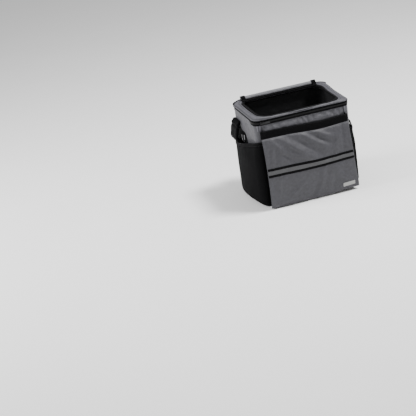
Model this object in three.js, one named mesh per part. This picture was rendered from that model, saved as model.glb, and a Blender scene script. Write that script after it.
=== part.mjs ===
// A soft-sided pet basket with a zipped lid, a front pocket, mesh side pockets and straps on its back.
// Millimetres, +Z up, the front faces -Y, and the origin is the middle of the base's underside.
import * as THREE from "three";

// Driving dimensions of the whole basket
const lidWidth = 380;
const lidDepth = 276;
const wallHeight = 334;
const lidOverhang = 4;
const sideTaper = 4;
const endTaper = 3;
const frontRadius = 22;
const rearRadius = 32;
const seat = 0.3;

// Layers of the walls, from outside to inside
const fabric = 1.6;
const wallBoard = 2.4;
const lining = 1.2;
const baseBoard = 4;

// Base cushion
const cushionSide = 18;
const cushionCrown = 9;
const cushionPinch = 5;
const cushionGap = 4;
const channelDepth = 4;
const channelWidth = 14;
const channelPlaceShare = 0.33;

// Lid
const lidThickness = 16;
const lidEdgeRise = 8;
const lidShoulder = 14;
const sideBorder = 33;
const frontBorder = 18;
const rearBorder = 22;
const openingRadius = 46;
const bindingWidth = 9;
const bindingHeight = 7;
const coverLapShare = 0.45;
const pipingRadius = 2.4;

// Zip round three sides of the lid
const tapeThickness = 1;
const tapeTopWidth = 2.1;
const tapeLowWidth = 7.1;
const toothPitch = 5;
const toothHeight = 2.4;
const toothRoot = 1.4;
const toothDepth = 2.4;
const toothGap = 0.4;
const tapeWrap = 24;
const sliderLength = 15;
const sliderWidth = 10;
const sliderThickness = 3;
const sliderTopShare = 0.8;
const sliderEdgeShare = 0.6;
const bailWidth = 3;
const bailHeight = 4.5;
const bailThickness = 1.3;
const bailSpanShare = 0.36;
const pullLength = 30;
const pullWidth = 8;
const pullThickness = 1.8;
const pullPlay = 0.6;
const pullSlotShare = 0.65;
const pullRoundShare = 0.35;

// Front pocket
const pocketTop = 300;
const pocketWebbing = 30;
const pocketMouth = 10;
const pocketSwell = 16;
const pocketFoot = 33;
const pocketFootGap = 3;
const swellFullness = 0.6;
const pocketHalfTop = 170;
const pocketHalfBottom = 173;
const webbing = 2;
const stripeTop = 160;
const stripeWidth = 9;
const reflectorWidth = 15;
const stripeInset = 2;
const trim = 0.8;
const labelWidth = 48;
const labelHeight = 17;
const labelSide = 10;
const labelFoot = 18;

// Mesh pockets on the two sides
const meshThickness = 1.2;
const meshBulge = 30;
const meshFootShare = 0.1;
const hemPullShare = 0.2;
const hemPullPower = 3;
const meshFoot = 4;
const hemHeight = 14;
const hemThickness = 2;
const hemFront = 258;
const hemRear = 198;

// Shoulder strap rings on the two sides
const ringPlace = 22;
const ringBarHeight = 250;
const ringWidth = 38;
const ringDrop = 27;
const ringWire = 3.6;
const ringPlay = 0.6;
const ringBowShare = 0.6;
const ringShoulderShare = 0.3;
const mitreLimit = 0.6;
const tabWidth = 30;
const tabHeight = 22;
const tabThickness = 1.4;
const tabLeadShare = 0.4;

// Carrying loops on the two sides
const loopPlace = 77;
const loopWidth = 66;
const loopTop = 286;
const loopBottom = 210;
const loopReach = 23;
const loopFace = 46;
const loopThickness = 6;
const loopTail = 11;
const patchMargin = 4;
const ringPatchTop = 272;
const ringPatchTopFront = 4;
const ringPatchLow = 234;
const ringPatchLowFront = -38;

// Straps on the back: two high ones side by side, and one low one across the middle
const barStrapPlace = 82;
const barStrapWidth = 38;
const barStrapTop = 306;
const barStrapDrop = 62;
const barStrapReach = 46;
const tubeStrapHeight = 112;
const tubeStrapWidth = 25;
const tubeStrapHalf = 34;
const tubeStrapReach = 48;
const barStrapFace = 34;
const tubeStrapFace = 38;
const strapThickness = 2.4;
const strapTail = 10;
const glideThickness = 3;
const glideRim = 4;
const glideBar = 5;
const glideSlot = 5;
const slotRoundShare = 0.4;
const hingeTape = 14;

// Window cover rolled up behind the opening
const rollInset = 5;
const rollCore = 2.6;
const rollTurns = 2.5;
const rollCloth = 1.3;
const rollPitch = 2.1;
const tieWidth = 13;
const tieThickness = 1.6;

// Steps of the faceted curves
const cornerSteps = 6;
const bowSteps = 12;
const tubeSides = 8;
const rollSteps = 16;

// Materials
const cloth = (color, roughness) => new THREE.MeshStandardMaterial({ color, roughness, metalness: 0 });
const metal = (color) => new THREE.MeshStandardMaterial({ color, roughness: 0.3, metalness: 1 });
const grayCloth = cloth(0x6a6a70, 0.75);
const blackCloth = cloth(0x18181a, 0.85);
const liningCloth = cloth(0x121213, 0.9);
const webbingBlack = cloth(0x151517, 0.8);
const meshBlack = cloth(0x1c1c1e, 0.9);
const reflector = cloth(0x8c8c8a, 0.4);
const labelWhite = cloth(0xd8d8d4, 0.6);
const board = cloth(0x2a2a2c, 0.6);
const foam = cloth(0x3a3a3d, 0.95);
const plasticBlack = cloth(0x141416, 0.45);
const steel = metal(0xc4c6c8);
const blackMetal = metal(0x161618);

const basket = new THREE.Group();

function piece(name, geometry, material, group = basket) {
  const mesh = new THREE.Mesh(geometry, material);
  mesh.name = name;
  group.add(mesh);
  return mesh;
}

// Closed solids from grids and rings of points
function signedVolume(points, faces) {
  const cross = new THREE.Vector3();
  return faces.reduce((sum, [a, b, c]) => sum + points[a].dot(cross.crossVectors(points[b], points[c])), 0);
}

function facetedSolid(points, faces) {
  const outward = signedVolume(points, faces) < 0 ? faces.map(([a, b, c]) => [a, c, b]) : faces;
  const geometry = new THREE.BufferGeometry().setFromPoints(points);
  geometry.setIndex(outward.flat());
  geometry.computeVertexNormals();
  return geometry;
}

function quad(faces, a, b, c, d) {
  faces.push([a, b, c], [a, c, d]);
}

// A sheet between an outer and an inner grid of points: rows of equal length, joined at the rim.
function sheet(outer, inner, closed = false) {
  const rows = outer.length;
  const cols = outer[0].length;
  const points = [...outer.flat(), ...inner.flat()];
  const at = (i, j) => i * cols + (j % cols);
  const under = (i, j) => rows * cols + at(i, j);
  const faces = [];
  const runs = closed ? cols : cols - 1;
  for (let j = 0; j < runs; j++) {
    for (let i = 0; i + 1 < rows; i++) {
      quad(faces, at(i, j), at(i, j + 1), at(i + 1, j + 1), at(i + 1, j));
      quad(faces, under(i + 1, j), under(i + 1, j + 1), under(i, j + 1), under(i, j));
    }
    quad(faces, at(0, j + 1), at(0, j), under(0, j), under(0, j + 1));
    quad(faces, at(rows - 1, j), at(rows - 1, j + 1), under(rows - 1, j + 1), under(rows - 1, j));
  }
  for (let i = 0; !closed && i + 1 < rows; i++) {
    quad(faces, at(i, 0), at(i + 1, 0), under(i + 1, 0), under(i, 0));
    quad(faces, at(i + 1, cols - 1), at(i, cols - 1), under(i, cols - 1), under(i + 1, cols - 1));
  }
  return facetedSolid(points, faces);
}

// A solid through a list of rings: capped at both ends, or joined end to end.
function loft(rings, joined = false) {
  const sides = rings[0].length;
  const points = rings.flat();
  const at = (i, k) => (i % rings.length) * sides + (k % sides);
  const faces = [];
  for (let k = 0; k < sides; k++)
    for (let i = 0; i < (joined ? rings.length : rings.length - 1); i++)
      quad(faces, at(i, k), at(i, k + 1), at(i + 1, k + 1), at(i + 1, k));
  if (!joined)
    for (const [end, flip] of [[0, true], [rings.length - 1, false]]) {
      const middle = rings[end].reduce((sum, p) => sum.add(p), new THREE.Vector3()).divideScalar(sides);
      points.push(middle);
      for (let k = 0; k < sides; k++) {
        const pair = flip ? [at(end, k + 1), at(end, k)] : [at(end, k), at(end, k + 1)];
        faces.push([...pair, points.length - 1]);
      }
    }
  return facetedSolid(points, faces);
}

// A flat strip of cloth or webbing: a centre line in a plane, and a width across it.
function ribbon(line, thickness, width, place, closed = false) {
  const count = line.length;
  const side = line.map((p, i) => {
    const before = line[closed ? (i + count - 1) % count : Math.max(i - 1, 0)];
    const after = line[closed ? (i + 1) % count : Math.min(i + 1, count - 1)];
    return after.clone().sub(before).normalize().rotateAround(new THREE.Vector2(), Math.PI / 2);
  });
  const row = (offset, across) =>
    line.map((p, i) => {
      const q = p.clone().addScaledVector(side[i], offset);
      return place(q.x, q.y, across);
    });
  const grid = (offset) => [row(offset, -width / 2), row(offset, width / 2)];
  return sheet(grid(thickness / 2), grid(-thickness / 2), closed);
}

// A plate with its outline in a plane, its holes cut through, and its place set by the caller.
function plate(outline, holes, thickness) {
  const shape = new THREE.Shape(outline.getPoints(cornerSteps));
  holes.forEach((hole) => shape.holes.push(new THREE.Path(hole.getPoints(cornerSteps))));
  return new THREE.ExtrudeGeometry(shape, { depth: thickness, bevelEnabled: false });
}

function roundedBox(halfWidth, halfHeight, radius, centre = new THREE.Vector2()) {
  const path = new THREE.Path();
  const { x, y } = centre;
  const quarter = Math.PI / 2;
  const corners = [[1, 1], [-1, 1], [-1, -1], [1, -1]];
  corners.forEach(([i, j], k) => {
    const cx = x + i * (halfWidth - radius);
    const cy = y + j * (halfHeight - radius);
    path.absarc(cx, cy, radius, k * quarter, (k + 1) * quarter, false);
  });
  path.closePath();
  return path;
}

// The outline of the walls in plan
const halfWidth = (z) => lidWidth / 2 - lidOverhang - sideTaper * (1 - z / wallHeight);
const halfDepth = (z) => lidDepth / 2 - lidOverhang - endTaper * (1 - z / wallHeight);
const frontY = (z, outward = 0) => -halfDepth(z) - outward;

// A point of a side wall: run goes 0 to 1 round the front corner, to 2 along the side, to 3 round the rear.
function sidePoint(hand, run, z, inset) {
  const w = halfWidth(z);
  const d = halfDepth(z);
  let x = w - inset;
  let y = THREE.MathUtils.lerp(frontRadius - d, d - rearRadius, run - 1);
  if (run < 1) {
    const turn = (run * Math.PI) / 2;
    x = w - frontRadius + (frontRadius - inset) * Math.sin(turn);
    y = frontRadius - d - (frontRadius - inset) * Math.cos(turn);
  }
  if (run > 2) {
    const turn = ((run - 2) * Math.PI) / 2;
    x = w - rearRadius + (rearRadius - inset) * Math.cos(turn);
    y = d - rearRadius + (rearRadius - inset) * Math.sin(turn);
  }
  return new THREE.Vector3(hand * x, y, z);
}

function spread(from, to, steps) {
  return Array.from({ length: steps + 1 }, (_, i) => THREE.MathUtils.lerp(from, to, i / steps));
}

const sideRuns = [...spread(0, 1, cornerSteps), ...spread(2, 3, cornerSteps)];

function sideSheet(hand, low, high, inset, thickness, runs = sideRuns) {
  const grid = (depth) => [low, high].map((z) => runs.map((run) => sidePoint(hand, run, z, depth)));
  return sheet(grid(inset), grid(inset + thickness));
}

// A flat sheet across the front or the back, between the corner seams
function endSheet(end, radius, low, high, inset, thickness) {
  const grid = (depth) =>
    [low, high].map((z) => {
      const half = halfWidth(z) - radius - seat;
      return [-half, half].map((x) => new THREE.Vector3(x, end * (halfDepth(z) - depth), z));
    });
  return sheet(grid(inset), grid(inset + thickness));
}

// The outline of a closed rounded rectangle in plan, with its own front and rear corner radii
function planRing(w, d, front, rear, z, steps = cornerSteps) {
  const corners = [[1, -1, front, -1], [1, 1, rear, 0], [-1, 1, rear, 1], [-1, -1, front, 2]];
  return corners.flatMap(([i, j, radius, quarter]) =>
    spread(quarter, quarter + 1, steps).map((q) => {
      const turn = (q * Math.PI) / 2;
      const x = i * (w - radius) + radius * Math.cos(turn);
      const y = j * (d - radius) + radius * Math.sin(turn);
      return new THREE.Vector3(x, y, z);
    }),
  );
}

// Base
const bottomTop = fabric;
const boardLow = bottomTop + seat;
const wallThickness = fabric + wallBoard + lining + 2 * seat;
const boardHigh = boardLow + baseBoard;

function baseSolid(low, high, inset) {
  const ring = (z) =>
    planRing(halfWidth(z) - inset, halfDepth(z) - inset, frontRadius - inset, rearRadius - inset, z);
  return loft([ring(low), ring(high)]);
}

piece("bottom_panel", baseSolid(0, bottomTop, 0), blackCloth);
piece("base_board", baseSolid(boardLow, boardHigh, wallThickness + seat), board);

// Walls: gray cloth outside, a stiff board in each flat wall, black lining inside
const hands = { left: -1, right: 1 };
const liningInset = fabric + wallBoard + 2 * seat;

for (const [hand, sign] of Object.entries(hands)) {
  piece(hand + "_panel", sideSheet(sign, boardLow, wallHeight, 0, fabric), grayCloth);
  piece(hand + "_lining", sideSheet(sign, boardLow, wallHeight, liningInset, lining), liningCloth);
  const flat = sideSheet(sign, boardLow, wallHeight - lining, fabric + seat, wallBoard, [1, 2]);
  piece(hand + "_board", flat, board);
}
for (const [end, sign, radius] of [["front", -1, frontRadius], ["back", 1, rearRadius]]) {
  piece(end + "_panel", endSheet(sign, radius, boardLow, wallHeight, 0, fabric), grayCloth);
  piece(end + "_lining", endSheet(sign, radius, boardLow, wallHeight, liningInset, lining), liningCloth);
  const flat = endSheet(sign, radius, boardLow, wallHeight - lining, fabric + seat, wallBoard);
  piece(end + "_board", flat, board);
}

// Base cushion: drawn-in sides, a crown, and two sewn channels across it
function cushionSolid() {
  const low = boardHigh + seat;
  const inset = wallThickness + cushionGap;
  const heightShares = [0, 0.2, 0.5, 0.8, 1];
  const drawShares = [1, 0.35, 0, 0.35, 1];
  const ringShares = [0.9, 0.75, 0.6, 0.4, 0.2];
  const w = halfWidth(low) - inset;
  const d = halfDepth(low) - inset;
  const corner = cornerSteps - 2;
  const outline = (draw, z) => planRing(w - draw, d - draw, frontRadius, rearRadius - inset, z, corner);
  const rings = heightShares.map((share, i) =>
    outline(cushionPinch * drawShares[i], low + cushionSide * share),
  );
  const channel = (y) => {
    const away = Math.abs(Math.abs(y) - d * channelPlaceShare) / channelWidth;
    return channelDepth * Math.max(0, 1 - away * away);
  };
  const edge = outline(cushionPinch, low + cushionSide);
  for (const share of ringShares)
    rings.push(
      edge.map((p) => {
        const y = p.y * share;
        const rise = cushionCrown * (1 - share * share) - channel(y) * (1 - share * share);
        return new THREE.Vector3(p.x * share, y, low + cushionSide + rise);
      }),
    );
  return loft(rings);
}
piece("base_cushion", cushionSolid(), blackCloth);

// Lid: lining, board and gray cover, each a ring round the opening
const lidGroup = new THREE.Group();
basket.add(lidGroup);
const lidLow = wallHeight + seat;
const lidTop = wallHeight + lidThickness;
const openingHalf = lidWidth / 2 - sideBorder;
const openingFront = -lidDepth / 2 + frontBorder;
const openingBack = lidDepth / 2 - rearBorder;
const openingMiddle = (openingFront + openingBack) / 2;
const openingHalfDepth = (openingBack - openingFront) / 2;
const lidFrontRadius = frontRadius + lidOverhang;
const lidRearRadius = rearRadius + lidOverhang;

function lidOuter(inset, z) {
  const w = lidWidth / 2 - inset;
  return planRing(w, lidDepth / 2 - inset, lidFrontRadius - inset, lidRearRadius - inset, z);
}

function lidInner(outset, z) {
  const radius = openingRadius - outset;
  const ring = planRing(openingHalf - outset, openingHalfDepth - outset, radius, radius, z);
  ring.forEach((p) => (p.y += openingMiddle));
  return ring;
}

// A ring sheet from rows of points that run from the outer edge to the opening
function lidRing(rows, thickness) {
  const lowered = rows.map((ring) => ring.map((p) => new THREE.Vector3(p.x, p.y, p.z - thickness)));
  return sheet(rows, lowered, true);
}

const liningTop = lidLow + lining;
const foamTop = lidTop - fabric - seat;
const foamThickness = foamTop - liningTop - seat;
const openingEdge = -bindingWidth / 2 - seat;
const liningRows = [lidOuter(lidOverhang, liningTop), lidInner(openingEdge, liningTop)];
const foamRows = [lidOuter(lidShoulder, foamTop), lidInner(openingEdge, foamTop)];
piece("lid_lining", lidRing(liningRows, lining), liningCloth, lidGroup);
piece("lid_foam", lidRing(foamRows, foamThickness), foam, lidGroup);

const shoulderShares = [[0, 1], [0.1, 0.55], [0.4, 0.15], [1, 0]];
const coverRows = [
  ...shoulderShares.map(([u, v]) => lidOuter(lidShoulder * u, lidTop - lidEdgeRise * v)),
  lidInner(-coverLapShare * bindingWidth, lidTop),
];
piece("lid_cover", lidRing(coverRows, fabric), grayCloth, lidGroup);

// Tubes that follow a closed outline: the piping under the lid's edge and the binding of its opening
function outlineTube(ringAt, width, height, z) {
  const turns = spread(0, 2 * Math.PI, tubeSides).slice(1);
  const rings = turns.map((turn) => {
    const inset = (width / 2) * (1 - Math.cos(turn));
    return ringAt(inset, z + (height / 2) * Math.sin(turn));
  });
  const across = rings[0].map((_, i) => rings.map((ring) => ring[i]));
  return loft(across, true);
}
const pipingZ = lidTop - lidEdgeRise - fabric - seat - pipingRadius;
const pipingWidth = 2 * pipingRadius;
piece("lid_piping", outlineTube(lidOuter, pipingWidth, pipingWidth, pipingZ), webbingBlack, lidGroup);
const bindingZ = lidTop - bindingHeight / 2 + seat;
const bindingRing = (inset, z) => lidInner(inset - bindingWidth / 2, z);
const binding = outlineTube(bindingRing, bindingWidth, bindingHeight, bindingZ);
piece("opening_binding", binding, webbingBlack, lidGroup);

// Zip: one run from side to side across the front, and on along both sides to the rear corners
const tapeTop = pipingZ - pipingRadius - seat;
const chainHeight = 2 * toothRoot + toothHeight;
const chainTop = tapeTop - tapeTopWidth - seat;
const chainMiddle = chainTop - chainHeight / 2;
const chainLow = chainTop - chainHeight;
const sideLength = (z) => 2 * halfDepth(z) - frontRadius - rearRadius;
const wrapRun = 1 + tapeWrap / sideLength(wallHeight);

function frontRun(z, outward, reach, steps = cornerSteps) {
  const runs = [...spread(0, 1, steps), reach];
  const onSide = (hand) => runs.map((run) => sidePoint(hand, run, z, -outward));
  return { left: onSide(-1).reverse(), right: onSide(1) };
}

function tapeSheet(low, high) {
  const grid = (outward) =>
    [low, high].map((z) => {
      const { left, right } = frontRun(z, outward, wrapRun);
      return [...left, ...right];
    });
  return sheet(grid(seat + tapeThickness), grid(seat));
}
piece("zip_tape_lower", tapeSheet(chainLow - seat - tapeLowWidth, chainLow - seat), webbingBlack);
piece("zip_tape_upper", tapeSheet(chainTop + seat, tapeTop), webbingBlack, lidGroup);

// The two rows of teeth share one wavy parting line: edge is the far side of the row, side is -1 or 1.
function toothRow(edge, side) {
  const straight = halfWidth(edge) - frontRadius;
  const count = Math.floor((2 * straight) / toothPitch);
  const flat = chainMiddle + side * (toothGap / 2);
  const swing = (toothHeight - toothGap) / 2;
  const waveShares = [[0.05, -1], [0.45, -1], [0.55, 1], [0.95, 1]];
  const wave = Array.from({ length: count }, (_, i) =>
    waveShares.map(([share, up]) => [(i + share - count / 2) * toothPitch, flat + up * swing]),
  ).flat();
  const line = (outward, teeth) => {
    const { left, right } = frontRun(edge, outward, 2);
    const middle = wave.map(([x, z]) => new THREE.Vector3(x, frontY(edge, outward), teeth ? z : edge));
    const ends = (points) => points.map((p) => new THREE.Vector3(p.x, p.y, teeth ? flat : edge));
    return [...ends(left), ...middle, ...ends(right)];
  };
  const grid = (outward) => [line(outward, false), line(outward, true)];
  return sheet(grid(seat + toothDepth), grid(seat));
}
piece("zip_teeth_lower", toothRow(chainLow, -1), plasticBlack);
piece("zip_teeth_upper", toothRow(chainTop, 1), plasticBlack, lidGroup);

// Gray flaps of the lid that hang over the zip along the two sides
for (const [hand, sign] of Object.entries(hands)) {
  const outward = seat + toothDepth + seat + trim;
  const flap = sideSheet(sign, chainLow - seat, tapeTop, -outward, trim, [wrapRun, 2]);
  piece(hand + "_zip_flap", flap, grayCloth, lidGroup);
}

// Slider and pull, parked at the left end of the front run
const sliderGroup = new THREE.Group();
const sliderX = -(halfWidth(wallHeight) - frontRadius - sliderLength / 2);
sliderGroup.position.set(sliderX, frontY(chainMiddle, 2 * seat + toothDepth), chainMiddle);
basket.add(sliderGroup);

function sliderBody() {
  const half = sliderLength / 2;
  const top = half * sliderTopShare;
  const edge = sliderThickness * sliderEdgeShare;
  const shape = new THREE.Shape();
  shape.moveTo(-half, 0);
  shape.lineTo(half, 0);
  shape.lineTo(half, edge);
  shape.quadraticCurveTo(half, sliderThickness, top, sliderThickness);
  shape.lineTo(-top, sliderThickness);
  shape.quadraticCurveTo(-half, sliderThickness, -half, edge);
  shape.closePath();
  const options = { depth: sliderWidth, bevelEnabled: false, curveSegments: cornerSteps };
  const body = new THREE.ExtrudeGeometry(shape, options);
  body.translate(0, 0, -sliderWidth / 2);
  return body;
}
const sliderMesh = piece("zip_slider", sliderBody(), blackMetal, sliderGroup);
sliderMesh.rotation.x = Math.PI;

const bailShares = [[-1, 0], [-0.86, 0.75], [-0.5, 1], [0.5, 1], [0.86, 0.75], [1, 0]];
const bailHalf = sliderLength * bailSpanShare;
const bailFoot = sliderThickness + seat;
const bailLine = bailShares.map(([u, v]) => new THREE.Vector2(bailHalf * u, bailFoot + bailHeight * v));
const bailPlace = (x, out, across) => new THREE.Vector3(x, -out, across);
piece("slider_bail", ribbon(bailLine, bailThickness, bailWidth, bailPlace), blackMetal, sliderGroup);

// The pull: its end bar lies under the arch, and the arch's leg stands in its slot
const pullSlotHalf = bailHalf * pullSlotShare;
const pullBar = bailThickness;
const pullMiddle = new THREE.Vector2(pullLength / 2 - pullBar, 0);
const slotMiddle = new THREE.Vector2(pullSlotHalf + pullBar, 0);
const pullOutline = roundedBox(pullLength / 2, pullWidth / 2, pullWidth * pullRoundShare, pullMiddle);
const pullSlot = roundedBox(pullSlotHalf, bailWidth / 2 + seat, bailWidth / 4, slotMiddle);
const pull = piece("zip_pull", plate(pullOutline, [pullSlot], pullThickness), blackMetal, sliderGroup);
pull.rotation.x = Math.PI / 2;
pull.position.y = -(bailFoot + pullPlay);

// Front pocket: how far its face stands off the front wall at each height
const faceTop = pocketTop - pocketWebbing - seat;

function pocketReach(z) {
  const share = THREE.MathUtils.clamp(z / faceTop, 0, 1);
  const chord = THREE.MathUtils.lerp(pocketFoot, pocketMouth + webbing, share);
  return chord + pocketSwell * Math.sin(Math.PI * share) ** swellFullness;
}

const pocketHalf = (z) => THREE.MathUtils.lerp(pocketHalfBottom, pocketHalfTop, z / pocketTop);
const faceRowShares = [0, 0.03, 0.08, 0.16, 0.28, 0.42, 0.56, 0.7, 0.82, 0.92, 1];

// A sheet that lies on the pocket's face: depth 0 is the face's outer side
function faceSheet(low, high, depth, thickness, xRange, rows) {
  const grid = (inward) =>
    rows.map((share) => {
      const z = THREE.MathUtils.lerp(low, high, share);
      const [from, to] = xRange(z);
      const y = frontY(z, pocketReach(z) - inward);
      return [from, to].map((x) => new THREE.Vector3(x, y, z));
    });
  return sheet(grid(depth), grid(depth + thickness));
}
const acrossFace = (inset) => (z) => [inset - pocketHalf(z), pocketHalf(z) - inset];
const onFace = -trim - seat;

piece("pocket_face", faceSheet(pocketFootGap, faceTop, 0, fabric, acrossFace(0), faceRowShares), grayCloth);
const topStripe = stripeTop - stripeWidth;
const reflectorLow = topStripe - seat - reflectorWidth;
const lowStripe = reflectorLow - seat - stripeWidth;
const trimRows = [0, 0.5, 1];
const onTrim = (low, width) => faceSheet(low, low + width, onFace, trim, acrossFace(stripeInset), trimRows);
piece("stripe_upper", onTrim(topStripe, stripeWidth), webbingBlack);
piece("reflective_strip", onTrim(reflectorLow, reflectorWidth), reflector);
piece("stripe_lower", onTrim(lowStripe, stripeWidth), webbingBlack);
const labelRange = (z) => [pocketHalf(z) - labelSide - labelWidth, pocketHalf(z) - labelSide];
const labelSheet = faceSheet(labelFoot, labelFoot + labelHeight, onFace, trim, labelRange, trimRows);
piece("blank_label", labelSheet, labelWhite);

function webbingSheet() {
  const grid = (outward) =>
    [pocketTop - pocketWebbing, pocketTop].map((z) => {
      const half = pocketHalfTop + stripeInset;
      return [-half, half].map((x) => new THREE.Vector3(x, frontY(z, outward), z));
    });
  return sheet(grid(pocketMouth + webbing), grid(pocketMouth));
}
piece("pocket_webbing", webbingSheet(), webbingBlack);

// Gussets of the pocket: one down each side, and one across its foot
function sideGusset(hand) {
  const heights = faceRowShares.map((share) => THREE.MathUtils.lerp(pocketFootGap, faceTop, share));
  const rows = [...heights, pocketTop];
  const grid = (inward) =>
    rows.map((z) => {
      const root = halfWidth(z) - frontRadius - inward;
      const front = pocketHalf(z) - stripeInset - inward;
      const deep = z < faceTop ? pocketReach(z) - fabric - seat : pocketMouth - seat;
      return [
        new THREE.Vector3(hand * root, frontY(z, seat), z),
        new THREE.Vector3(hand * front, frontY(z, deep), z),
      ];
    });
  return sheet(grid(0), grid(lining));
}

function footGusset() {
  const row = (z, outward, half) => [-half, half].map((x) => new THREE.Vector3(x, frontY(z, outward), z));
  const reach = pocketReach(pocketFootGap) - fabric - seat;
  const inner = lining + seat;
  const grid = (z) => [
    row(z, seat, halfWidth(z) - frontRadius - inner),
    row(z, reach, pocketHalf(z) - stripeInset - inner),
  ];
  return sheet(grid(pocketFootGap), grid(pocketFootGap + lining));
}
for (const [hand, sign] of Object.entries(hands))
  piece("pocket_gusset_" + hand, sideGusset(sign), blackCloth);
piece("pocket_gusset_bottom", footGusset(), blackCloth);

// Mesh pockets: bowed outward, sewn at the foot and both ends, with an elastic hem that falls to the rear
const meshFrontSteps = 1;
const meshRearSteps = 2;
const frontCorner = spread(0, 1, cornerSteps).slice(meshFrontSteps, -1);
const rearCorner = spread(2, 3, cornerSteps).slice(1, -meshRearSteps);
const meshRuns = [...frontCorner, ...spread(1, 2, bowSteps), ...rearCorner];
const meshRowShares = [0, 0.015, 0.05, 0.13, 0.25, 0.45, 0.65, 0.82, 1];

function meshShare(run, z) {
  const [from, at, to] = [meshRuns[0], run, meshRuns.at(-1)].map((r) => sidePoint(1, r, z, 0).y);
  return (at - from) / (to - from);
}

function meshOffset(run, z, heightShare) {
  const bow = Math.sqrt(Math.max(0, Math.sin(Math.PI * meshShare(run, z))));
  const foot = Math.sin((Math.PI / 2) * Math.min(1, heightShare / meshFootShare)) ** swellFullness;
  const pulledIn = 1 - hemPullShare * heightShare ** hemPullPower;
  return seat + meshBulge * bow * foot * pulledIn;
}

const hemHeightAt = (run, z) => THREE.MathUtils.lerp(hemFront, hemRear, meshShare(run, z));

function meshSheet(hand) {
  const grid = (outward) =>
    meshRowShares.map((share) =>
      meshRuns.map((run) => {
        const top = hemHeightAt(run, hemFront) - hemHeight - seat;
        const z = THREE.MathUtils.lerp(meshFoot, top, share);
        return sidePoint(hand, run, z, -meshOffset(run, z, share) - outward);
      }),
    );
  return sheet(grid(meshThickness), grid(0));
}

function hemSheet(hand) {
  const grid = (outward) =>
    [-hemHeight, 0].map((below) =>
      meshRuns.map((run) => {
        const z = hemHeightAt(run, hemFront) + below;
        return sidePoint(hand, run, z, -meshOffset(run, z, 1) - outward);
      }),
    );
  return sheet(grid(hemThickness), grid(0));
}

// A closed standing loop of webbing: tails on the wall, slanted legs, and a flat outer face
function loopLine(top, bottom, reach, face, tail, root) {
  const middle = (top + bottom) / 2;
  const line = new THREE.Path();
  const half = face / 2;
  const turn = Math.min(half, (top - bottom) / 2 - half) / 2;
  line.moveTo(root, top + tail);
  line.lineTo(root, top + turn);
  line.quadraticCurveTo(root, top, root + turn, top - turn / 2);
  line.lineTo(reach - turn, middle + half + turn / 2);
  line.quadraticCurveTo(reach, middle + half, reach, middle + half - turn);
  line.lineTo(reach, middle - half + turn);
  line.quadraticCurveTo(reach, middle - half, reach - turn, middle - half - turn / 2);
  line.lineTo(root + turn, bottom + turn / 2);
  line.quadraticCurveTo(root, bottom, root, bottom - turn);
  line.lineTo(root, bottom - tail);
  return line.getPoints(3);
}

const sideAt = (hand, y) => (out, z, across) => new THREE.Vector3(hand * (halfWidth(z) + out), y + across, z);

// What each side wall carries: mesh pocket, ring with its tab, and carrying loop on its patch
const onPatch = seat + trim + seat;
const ringOut = onPatch + tabThickness + ringPlay + seat + ringWire / 2;

function dRing(hand) {
  const half = ringWidth / 2 - ringWire / 2;
  const bow = half * ringBowShare;
  const shoulder = ringDrop * ringShoulderShare;
  const square = Math.PI / 2;
  const path = new THREE.Path();
  path.moveTo(-half, 0);
  path.lineTo(half, 0);
  path.lineTo(half, -shoulder);
  path.bezierCurveTo(half, -ringDrop, bow, -ringDrop, 0, -ringDrop);
  path.bezierCurveTo(-bow, -ringDrop, -half, -ringDrop, -half, -shoulder);
  const line = path.getPoints(cornerSteps - 1);
  const count = line.length;
  const rings = line.map((p, i) => {
    const before = line[(i + count - 1) % count].clone().sub(p).normalize();
    const after = line[(i + 1) % count].clone().sub(p).normalize();
    const bisector = before.clone().sub(after).normalize().rotateAround(new THREE.Vector2(), square);
    const facing = before.rotateAround(new THREE.Vector2(), square).dot(bisector);
    const widen = 1 / Math.max(mitreLimit, Math.abs(facing));
    return spread(0, 2 * Math.PI, tubeSides)
      .slice(1)
      .map((turn) => {
        const q = p.clone().addScaledVector(bisector, (ringWire / 2) * widen * Math.cos(turn));
        const out = ringOut + (ringWire / 2) * Math.sin(turn);
        const x = hand * (halfWidth(ringBarHeight) + out);
        return new THREE.Vector3(x, ringPlace + q.x, ringBarHeight + q.y);
      });
  });
  return loft(rings, true);
}

function tabLine() {
  const near = onPatch + tabThickness / 2;
  const round = ringWire / 2 + ringPlay + tabThickness / 2;
  const arc = spread(Math.PI / 4, -Math.PI, tubeSides).map(
    (turn) => new THREE.Vector2(ringOut + round * Math.cos(turn), ringBarHeight + round * Math.sin(turn)),
  );
  const lead = new THREE.Vector2(near, ringBarHeight + tabHeight * tabLeadShare);
  return [new THREE.Vector2(near, ringBarHeight + tabHeight), lead, ...arc];
}

// One black patch under the loop and the ring: its front edge runs out to the mesh pocket's hem.
function patchSheet(hand) {
  const front = loopPlace - loopWidth / 2 - patchMargin;
  const back = loopPlace + loopWidth / 2 + patchMargin;
  const foot = ringPatchLow - patchMargin;
  const rows = [
    [loopTop + loopTail + patchMargin, front],
    [ringPatchTop + seat, front],
    [ringPatchTop, ringPatchTopFront],
    [ringPatchLow, ringPatchLowFront],
    [foot, ringPatchLowFront],
    [foot - seat, front],
    [loopBottom - loopTail - patchMargin, front],
  ];
  const grid = (out) => rows.map(([z, y]) => [y, back].map((at) => sideAt(hand, at)(out, z, 0)));
  return sheet(grid(seat + trim), grid(seat));
}

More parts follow.
